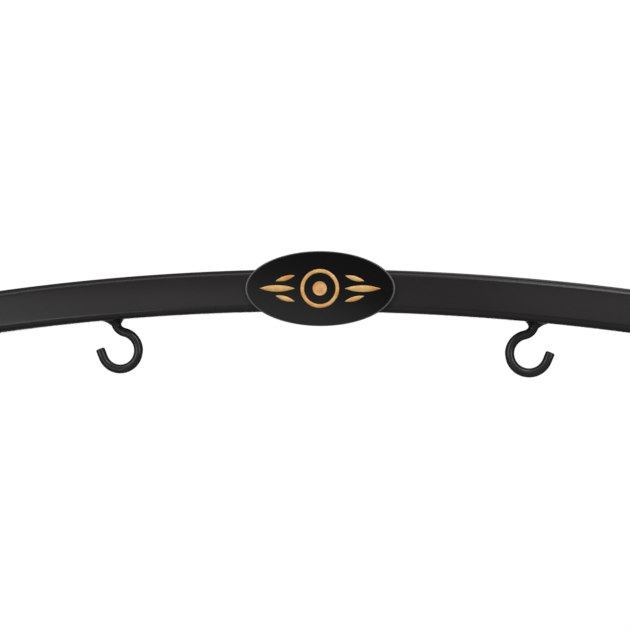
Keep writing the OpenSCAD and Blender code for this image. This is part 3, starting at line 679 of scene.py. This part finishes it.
bm = bmesh.new()
socket_corner = corner + (socket - tube) / 2
across = Matrix.Rotation(math.pi / 2, 4, Y_AXIS)
for end in (-1, 1):
    on_foot = Matrix.Translation((end * half, 0, foot_top))
    bead_round(bm, on_foot, socket, socket_corner, FILLET_RUN, FILLET_CROWN)
    bar_end = Matrix.Translation((end * bar_high.x, 0, (bar_low.z + bar_high.z) / 2))
    bead_round(bm, bar_end @ across, tube, corner, FILLET_RUN, FILLET_CROWN)
fit(finish_mesh("foot_and_bar_welds", bm), "frame", "powder_coat", coat)

# %% [markdown]
# A gusset is welded to its socket and to the foot along both of its sides. Such a bead runs straight, so
# a small circle is pushed out step by step along the joint, and each step swells a little for its scales.

# %% Straight beads
LINE_R = 0.0021
LINE_STEP = 0.0008
LINE_SIDES = 12
LINE_SCALES = 0.09
LINE_DRIFT = 0.2
LINE_NOISE = (90, 160)    # noise scale by the bead's place and along its run


def push_out(bm, edges, by):
    """Extrudes a loop of edges along a vector and returns the new loop."""
    made = bmesh.ops.extrude_edge_only(bm, edges=edges)["geom"]
    bmesh.ops.translate(bm, vec=by, verts=verts_of(made))
    return edges_of(made)


def bead_line(bm, start, end):
    """A closed weld bead from one point to another, round in section, with scales and rounded ends."""
    run = end - start
    rows = round(run.length / LINE_STEP)
    made = bmesh.ops.create_circle(bm, segments=LINE_SIDES, radius=LINE_R)["verts"]
    loop = list(dict.fromkeys(edge for vert in made for edge in vert.link_edges))
    bmesh.ops.edgeloop_fill(bm, edges=loop)
    loops = [loop]
    for row in range(rows):
        loop = push_out(bm, loop, Vector((0, 0, run.length / rows)))
        loops.append(loop)
    bmesh.ops.edgeloop_fill(bm, edges=loop)
    for row, loop in enumerate(loops):
        along = run.length * row / rows
        near_end = min(1, (min(along, run.length - along) + LINE_STEP / 2) / LINE_R)
        swell = math.sqrt(1 - (1 - near_end) ** 2)
        wave = math.sin(math.tau * along / SCALE_PITCH)
        drift = noise.noise(start * LINE_NOISE[0] + Vector((0, 0, along * LINE_NOISE[1])))
        girth = swell * (1 + LINE_SCALES * wave + LINE_DRIFT * drift)
        for vert in loop_verts(loop):
            vert.co.x *= girth
            vert.co.y *= girth
    place = Matrix.Translation(start) @ run.to_track_quat("Z", "Y").to_matrix().to_4x4()
    bmesh.ops.transform(bm, matrix=place, verts=[vert for loop in loops for vert in loop_verts(loop)])


# %% [markdown]
# The gussets stiffen the sockets to the front and the back. Each plate gets a bead along the foot and one
# up its socket, on both of its sides, and they stop a little short of the plate's ends.

# %% Beads of the gussets
BEAD_SHORT = 0.004
gusset_low, gusset_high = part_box("right_gussets")
gusset_rise = gusset_high.z - BEAD_SHORT
bm = bmesh.new()
for end in (-1, 1):
    for side in (gusset_low.x, gusset_high.x):
        for way in (-1, 1):
            corner_at = Vector((end * side, way * socket / 2, foot_top))
            toe_at = Vector((end * side, way * (gusset_high.y - BEAD_SHORT), foot_top))
            bead_line(bm, corner_at, toe_at)
            bead_line(bm, corner_at, Vector((corner_at.x, corner_at.y, gusset_rise)))
fit(finish_mesh("gusset_welds", bm), "frame", "powder_coat", coat)

# %% [markdown]
# ## Hooks
# Each hook is a rod bent into a ring that stays open to the outside, with a short reverse bend up to the
# arch. A circle is spun round the ring's centre, then back round the reverse bend's centre; the tip is one
# extrusion, and bevelling its rim gives the ground-off edge. The left hook is the right one mirrored.

# %% Rod of a hook
ROD_SIDES = 40
RING_STEPS = 84
NECK_STEPS = 30
TIP_ROUND = 0.001
TIP_STEPS = 5
hook_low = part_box("right_hook")[0]
hook_at = Vector((hook_low.x + HOOK_ROD + HOOK_R, 0, hook_low.z + HOOK_ROD + HOOK_R))
neck_turn = math.pi - HOOK_NECK_ANGLE
neck_at = hook_at + (HOOK_R + HOOK_NECK_R) * Vector((math.cos(neck_turn), 0, math.sin(neck_turn)))
stem_at = neck_at + Vector((HOOK_NECK_R, 0, 0))


def hook_rod(bm):
    """The bent rod, from its tip to inside the weld."""
    bmesh.ops.create_circle(bm, segments=ROD_SIDES, radius=HOOK_ROD)
    bmesh.ops.transform(bm, matrix=on_bend(hook_at, HOOK_R, -HOOK_TIP_ANGLE), verts=bm.verts)
    first = bm.edges[:]
    ring_turn = math.tau - HOOK_TIP_ANGLE - neck_turn
    ring = bmesh.ops.spin(bm, geom=first, cent=hook_at, axis=Y_AXIS, angle=ring_turn, steps=RING_STEPS)
    neck = bmesh.ops.spin(bm, geom=edges_of(ring["geom_last"]), cent=neck_at, axis=-Y_AXIS,
                          angle=HOOK_NECK_ANGLE, steps=NECK_STEPS)
    top = push_out(bm, edges_of(neck["geom_last"]), Vector((0, 0, WELD_R / 2)))
    bmesh.ops.edgeloop_fill(bm, edges=top)
    tip_way = Vector((math.sin(HOOK_TIP_ANGLE), 0, math.cos(HOOK_TIP_ANGLE)))
    tip = push_out(bm, first, tip_way * HOOK_TIP)
    bmesh.ops.edgeloop_fill(bm, edges=tip)
    bmesh.ops.bevel(bm, geom=tip, offset=TIP_ROUND, offset_type="OFFSET", segments=TIP_STEPS,
                    profile=ROUND, affect="EDGES", material=-1)


# %% [markdown]
# The weld under the tube is a flared collar. Its profile, a quarter of a hollow circle, is spun round the
# rod, then roughened: two or three beads show as soft rings, and the foot runs out unevenly on the tube.

# %% Weld of a hook
WELD_SIDES = 72
WELD_ROWS = 16
WELD_SPREAD = 0.0053
WELD_SKEW = 0.0019
WELD_LONG = 0.55
WELD_HOLLOW = (1.35, 2.1)
WELD_BURY = 0.0009
WELD_SKIN = 0.0001        # how far the collar's lower end stands off the rod
WELD_TAPER = 1.25
WELD_RINGS = 1.6
WELD_TWIST = 1.7
WELD_RIPPLE = 0.00013
WELD_DRIFT = 0.0012
WELD_NOISE = 1.3
weld_lean = math.asin(stem_at.x / (ARCH_R - tube / 2))


def rod_middle(down):
    """How far the rod's middle has bent away from the stem at a depth under the tube."""
    return HOOK_NECK_R - math.sqrt(HOOK_NECK_R ** 2 - down ** 2)


def hook_weld(bm):
    """The flared collar between rod and tube, leaning with the arch."""
    bmesh.ops.create_circle(bm, segments=WELD_SIDES, radius=1)
    loop = bm.edges[:]
    bmesh.ops.edgeloop_fill(bm, edges=loop)
    shape = []
    for row in range(WELD_ROWS + 1):
        if row:
            loop = push_out(bm, loop, Vector((0, 0, 0)))
        spread = row / WELD_ROWS
        shape.append((loop, WELD_R * (1 - spread) ** WELD_TAPER, spread))
    for loop, run, spread in shape:
        for vert in loop_verts(loop):
            around = math.atan2(vert.co.y, vert.co.x)
            outer = (1 + math.cos(around)) / 2
            down = run * (1 + WELD_LONG * outer)
            flare = spread ** (WELD_HOLLOW[0] + (WELD_HOLLOW[1] - WELD_HOLLOW[0]) * outer)
            ring = math.sin(math.tau * flare * WELD_RINGS + WELD_TWIST * math.sin(around * 2))
            drift = noise.noise(Vector((math.cos(around) * WELD_NOISE, math.sin(around) * WELD_NOISE, flare)))
            outward = WELD_SPREAD + WELD_SKEW * math.cos(around) + WELD_DRIFT * drift
            reach = HOOK_ROD + WELD_SKIN + outward * flare + WELD_RIPPLE * ring * math.sqrt(flare)
            vert.co = Vector((math.cos(around) * reach - rod_middle(down), math.sin(around) * reach, -down))
    loop = push_out(bm, loop, Vector((0, 0, WELD_BURY)))
    bmesh.ops.edgeloop_fill(bm, edges=loop)
    lean = Matrix.Rotation(weld_lean, 4, Y_AXIS)
    bmesh.ops.transform(bm, matrix=Matrix.Translation(stem_at) @ lean, verts=bm.verts)


# %% [markdown]
# Rod and weld are made for the right hook, and a scale of -1 along X makes the left one of them. Both
# pieces stand for the same CAD node, so each of them names it.

# %% Both hooks
for side, flip in (("right", 1), ("left", -1)):
    for label, shape in (("hook_rod", hook_rod), ("hook_weld", hook_weld)):
        bm = bmesh.new()
        shape(bm)
        bmesh.ops.scale(bm, vec=(flip, 1, 1), verts=bm.verts)
        fit(finish_mesh(f"{side}_{label}", bm), "frame", "powder_coat", coat, f"{side}_hook")

# %% [markdown]
# ## Badge
# The badge is a flat oval pressed from plate, bevelled round its face and stuck to the tube. The circle
# operator gives the outline, which is scaled to an oval, extruded, and bevelled along its front rim. A
# narrow inset inside the bevel keeps the shading of the face flat, so that it mirrors the room straight.

# %% Badge plate
OVAL_STEPS = 192
BEVEL_STEPS = 3
FACES_FRONT = 0.999
TINY = 1e-6
TO_FRONT = Matrix.Rotation(math.pi / 2, 4, "X")
badge_face = Matrix.Translation((badge_at.x, plate_low.y, badge_at.z)) @ TO_FRONT


def loop_at(bm, height):
    """The edges that lie at a height."""
    return [e for e in bm.edges if all(abs(v.co.z - height) < TINY for v in e.verts)]


bm = bmesh.new()
bmesh.ops.create_circle(bm, cap_ends=True, segments=OVAL_STEPS, radius=1)
bmesh.ops.scale(bm, vec=(badge_w / 2, badge_h / 2, 1), verts=bm.verts)
front = bmesh.ops.extrude_face_region(bm, geom=bm.faces[:])["geom"]
bmesh.ops.translate(bm, vec=(0, 0, badge_t), verts=verts_of(front))
bmesh.ops.bevel(bm, geom=loop_at(bm, badge_t), offset=BADGE_BEVEL, offset_type="OFFSET",
                segments=BEVEL_STEPS, profile=ROUND, affect="EDGES", material=-1)
face = [f for f in bm.faces if f.normal.z > FACES_FRONT and f.calc_center_median().z > badge_t - TINY]
bmesh.ops.inset_region(bm, faces=face, thickness=BADGE_BEVEL / 4)
bmesh.ops.transform(bm, matrix=badge_face @ Matrix.Translation((0, 0, -badge_t)), verts=bm.verts)
fit(finish_mesh("badge_oval", bm), "frame", "badge_enamel", enamel, "badge_plate")

# %% [markdown]
# The gold ornament shows a gong: a ring, a disc with a boss, and ridged leaves to both sides. The ring and
# the disc are profiles spun round the badge's middle. A leaf is a grid pulled in to a point at both ends,
# with a ridge along it. Everything stands a little proud, so that its edges catch the light.

# %% Ornament
LEAF_STEPS = 28
LEAF_ROWS = 6
BEAD_SIDES = 20
SPIN_STEPS = 96
RELIEF = 0.00055
SINK = 0.0003
RING_R = badge_h * 0.26
RING_WIDE = RING_R * 0.2
DISC_R = RING_R * 0.36
MERGE_NEAR = 0.00002
ORNAMENT_SHARP = math.radians(55)
# x, y, length, width and tilt of a leaf
MAIN_LEAF = (badge_w * 0.285, 0, badge_w * 0.24, badge_h * 0.085, 0)
SIDE_LEAF = (badge_w * 0.232, badge_h * 0.135, badge_w * 0.135, badge_h * 0.06, math.radians(16))


def lathe(bm, radius, half_wide, rise):
    """A half-round bead, spun round Z at a radius."""
    circle = bmesh.ops.create_circle(bm, segments=BEAD_SIDES, radius=1)["verts"]
    bmesh.ops.scale(bm, vec=(half_wide, rise + SINK, 1), verts=circle)
    bmesh.ops.rotate(bm, matrix=Matrix.Rotation(math.pi / 2, 3, "X"), verts=circle)
    bmesh.ops.translate(bm, vec=(radius, 0, -SINK), verts=circle)
    edges = list({e for v in circle for e in v.link_edges})
    bmesh.ops.spin(bm, geom=edges, cent=(0, 0, 0), axis=(0, 0, 1), angle=math.tau, steps=SPIN_STEPS,
                   use_merge=True)


def boss(bm, radius, rise):
    """A disc with a raised rim and a dome in its middle, like a gong seen from the front."""
    made = bmesh.ops.create_circle(bm, cap_ends=True, segments=SPIN_STEPS, radius=radius)["verts"]
    face = made[0].link_faces[0]
    bmesh.ops.translate(bm, vec=(0, 0, -SINK), verts=face.verts)
    # how far in and how far up: wall, rim, drop, flat, slope and dome
    steps = ((0, rise + SINK), (radius * 0.12, 0), (radius * 0.06, -rise * 0.4), (radius * 0.3, 0),
             (radius * 0.1, rise * 0.5), (radius * 0.16, rise * 0.3))
    for inward, up in steps:
        if inward:
            bmesh.ops.inset_region(bm, faces=[face], thickness=inward, use_even_offset=True)
            bmesh.ops.translate(bm, vec=(0, 0, up), verts=face.verts)
        else:
            top = bmesh.ops.extrude_face_region(bm, geom=[face])["geom"]
            bmesh.ops.delete(bm, geom=[face], context="FACES_ONLY")
            face = [item for item in top if isinstance(item, bmesh.types.BMFace)][0]
            bmesh.ops.translate(bm, vec=(0, 0, up), verts=face.verts)


def leaf(bm, x, y, length, width, tilt):
    """A ridged leaf with two pointed ends."""
    verts = bmesh.ops.create_grid(bm, x_segments=LEAF_STEPS, y_segments=LEAF_ROWS, size=1)["verts"]
    for vert in verts:
        along, aside = vert.co.x, vert.co.y
        full = 1 - along * along
        ridge = RELIEF * (1 - aside * aside) * full ** 0.5
        vert.co = Vector((along * length / 2, aside * full * width / 2, ridge))
    rim = list({e for v in verts for e in v.link_edges if e.is_boundary})
    skirt = push_out(bm, rim, Vector((0, 0, -SINK)))
    verts += loop_verts(skirt)
    place = Matrix.Translation((x, y, 0)) @ Matrix.Rotation(tilt, 4, "Z")
    bmesh.ops.transform(bm, matrix=place, verts=verts)


bm = bmesh.new()
lathe(bm, RING_R - RING_WIDE / 2, RING_WIDE / 2, RELIEF)
boss(bm, DISC_R, RELIEF)
for side in (-1, 1):
    x, y, length, width, tilt = MAIN_LEAF
    leaf(bm, side * x, y, length, width, tilt)
    x, y, length, width, tilt = SIDE_LEAF
    for level in (-1, 1):
        leaf(bm, side * x, level * y, length, width, -side * level * tilt)
bmesh.ops.remove_doubles(bm, verts=bm.verts, dist=MERGE_NEAR)
bmesh.ops.transform(bm, matrix=badge_face, verts=bm.verts)
ornament = finish_mesh("badge_gong_ornament", bm, ORNAMENT_SHARP)
fit(ornament, "frame", "gold_inlay", gold, "badge_ornament")

# %% [markdown]
# ## Plates, bolts and caster parts
# On real hardware no edge is razor sharp: pressed and turned parts have a small round that catches the
# light. Each such CAD node is copied, its triangles are merged back into whole faces, and a Bevel modifier
# rounds its sharp edges by a fraction of a millimetre. The copy replaces its node in the picture.

# %% Copies with rounded edges
EDGE_TURN = math.radians(30)
EDGE_STEPS = 2
FLAT_WITHIN = math.radians(0.5)
SAME_POINT = 0.00001


def dressed(name, width):
    """A copy of a CAD node with its sharp edges rounded."""
    bm = bmesh.new()
    bm.from_mesh(frame["nodes"][name].data)
    bmesh.ops.remove_doubles(bm, verts=bm.verts, dist=SAME_POINT)
    bmesh.ops.dissolve_limit(bm, angle_limit=FLAT_WITHIN, verts=bm.verts, edges=bm.edges)
    piece = finish_mesh(f"{name}_piece", bm, EDGE_TURN)
    layer = piece.data.attributes.get("custom_normal")
    if layer:
        piece.data.attributes.remove(layer)
    rounding = piece.modifiers.new("rounded edges", "BEVEL")
    rounding.width = width
    rounding.segments = EDGE_STEPS
    rounding.limit_method = "ANGLE"
    rounding.angle_limit = EDGE_TURN
    rounding.harden_normals = True
    slot = slot_of[name]
    return fit(piece, body_of[name], slot, FINISHES[slot], name)


PLATE_ROUND = 0.0005
BOLT_ROUND = 0.0002
MOULDED_ROUND = 0.0006
for name in ("left_gussets", "right_gussets", "crossbar_flanges", "left_socket", "right_socket"):
    dressed(name, PLATE_ROUND)
for name in ("arch_bolts", "arch_nuts", "foot_bolts", "foot_nuts", "crossbar_bolts", "crossbar_nuts",
             "frame_washers", "stem_nuts"):
    dressed(name, BOLT_ROUND)
dressed("foot_end_caps", MOULDED_ROUND)

# %% [markdown]
# All four casters have the same parts under different names: a stem that screws into the foot, a fork, an
# axle, a hub, and a brake pedal on its pin. Their prefixes are read from the tyres' names, so that one loop
# dresses them all.

# %% Caster parts
CASTERS = [name.removesuffix("_caster_tyre") for name in frame["nodes"] if name.endswith("_caster_tyre")]
for caster in CASTERS:
    dressed(f"{caster}_caster_stem", BOLT_ROUND)
    dressed(f"{caster}_caster_fork", PLATE_ROUND)
    dressed(f"{caster}_caster_axle", BOLT_ROUND)
    dressed(f"{caster}_caster_hub", PLATE_ROUND)
    dressed(f"{caster}_brake_pedal", MOULDED_ROUND)
    dressed(f"{caster}_brake_pin", BOLT_ROUND)

# %% [markdown]
# ## Tyres
# A tyre's section is a flat rectangle whose two outer corners are rounded. Cuts across its tread leave
# narrow strips, and after the spin two of these strips, which now run right round, are inset and pushed in
# to make the tread's grooves.

# %% Tyres with grooves
TYRE_STEPS = 72
TREAD_CUTS = 8
GROOVE_STRIPS = (2, 6)
GROOVE_DEEP = 0.0007
GROOVE_EDGE = 0.0002
SHOULDER_CUTS = 6
ON_TREAD = 0.97           # faces past this share of the radius belong to the tread


def tyre(bm, centre, outer, inner, wide, shoulder):
    """A tyre whose axle runs along X."""
    verts = bmesh.ops.create_grid(bm, x_segments=1, y_segments=1, size=HALF_UNIT)["verts"]
    bmesh.ops.scale(bm, vec=(wide, outer - inner, 1), verts=verts)
    bmesh.ops.translate(bm, vec=(0, (outer + inner) / 2, 0), verts=verts)
    crown = [v for v in verts if v.co.y > (outer + inner) / 2]
    bmesh.ops.bevel(bm, geom=crown, offset=shoulder, offset_type="OFFSET", segments=SHOULDER_CUTS,
                    profile=ROUND, affect="VERTICES", material=-1)
    tread = [e for e in bm.edges if all(v.co.y > outer - TINY for v in e.verts)]
    bmesh.ops.subdivide_edges(bm, edges=tread, cuts=TREAD_CUTS)
    outline = bm.edges[:]
    bmesh.ops.delete(bm, geom=bm.faces[:], context="FACES_ONLY")
    bmesh.ops.spin(bm, geom=outline, cent=(0, 0, 0), axis=(1, 0, 0), angle=math.tau, steps=TYRE_STEPS,
                   use_merge=True)
    strip = (wide - 2 * shoulder) / (TREAD_CUTS + 1)
    for number in GROOVE_STRIPS:
        left = -wide / 2 + shoulder + number * strip
        faces = []
        for face in bm.faces:
            middle = face.calc_center_median()
            if abs(middle.x - left - strip / 2) < strip / 4 and middle.yz.length > outer * ON_TREAD:
                faces.append(face)
        bmesh.ops.inset_region(bm, faces=faces, thickness=GROOVE_EDGE, depth=-GROOVE_DEEP,
                               use_even_offset=True)
    bmesh.ops.translate(bm, vec=centre, verts=bm.verts)


TYRE_SHOULDER = 0.004
for caster in CASTERS:
    low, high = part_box(f"{caster}_caster_tyre")
    hub_low, hub_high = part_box(f"{caster}_caster_hub")
    bm = bmesh.new()
    outer = (high.z - low.z) / 2
    inner = (hub_high.z - hub_low.z) / 2
    tyre(bm, (low + high) / 2, outer, inner, high.x - low.x, TYRE_SHOULDER)
    fit(finish_mesh(f"{caster}_tyre", bm), f"{caster}_wheel", "tyre_rubber", rubber, f"{caster}_caster_tyre")
